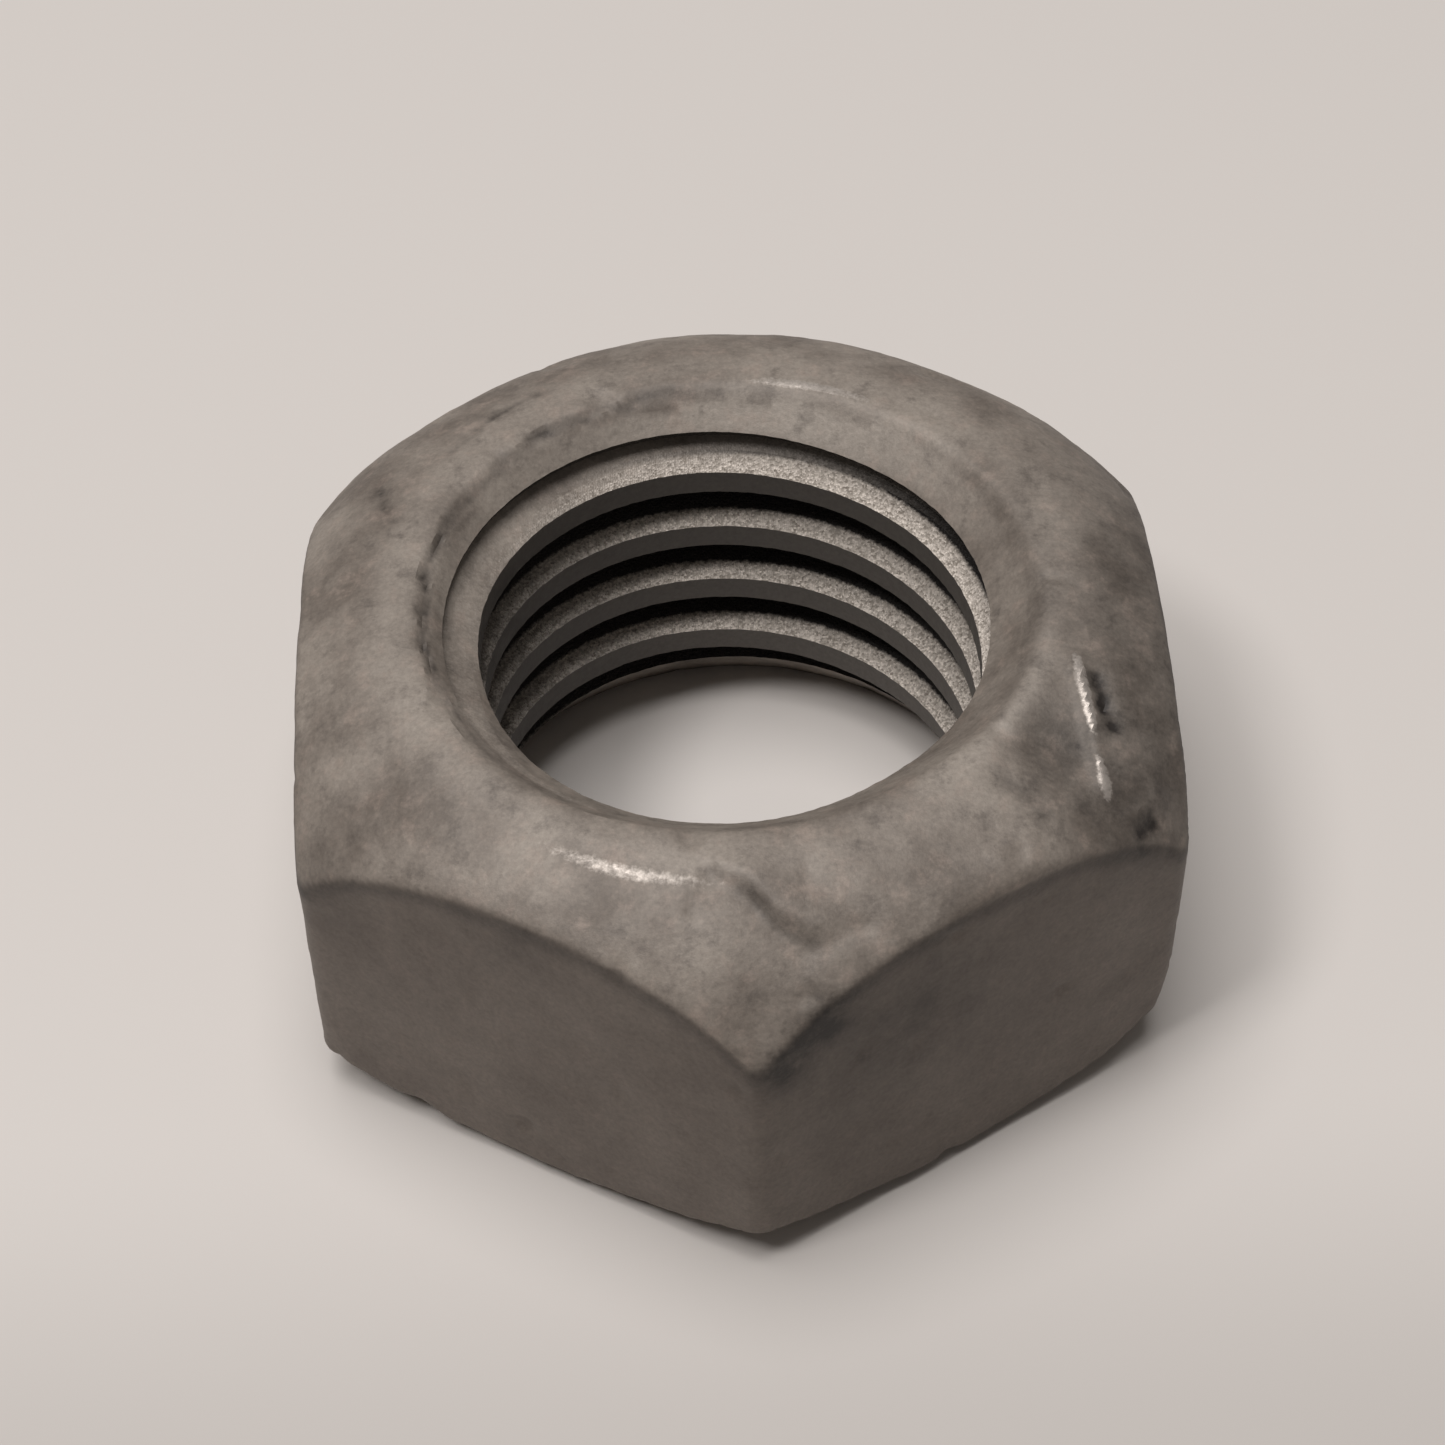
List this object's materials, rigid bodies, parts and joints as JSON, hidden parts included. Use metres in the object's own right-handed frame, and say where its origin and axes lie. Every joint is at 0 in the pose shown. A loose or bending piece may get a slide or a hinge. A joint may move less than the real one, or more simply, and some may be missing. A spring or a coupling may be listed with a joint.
{
  "type": "locking hex nut",
  "caption": "All-metal locking hex nut with a domed, pinched crown and a right-hand internal thread.",
  "frame": {"origin": "centre of the bearing face, on the thread axis", "axes": "+Z along the thread axis from the bearing face to the domed crown; one corner of the hexagon points along -Y, and the flats face +X and -X"},
  "size_m": [0.027, 0.0312, 0.0137],
  "materials": {
    "coated_steel": "forged carbon steel with a dull, mottled warm-grey phosphate and zinc coating"
  },
  "bodies": {
    "root": {"nut_body": "coated_steel"}
  },
  "joints": []
}
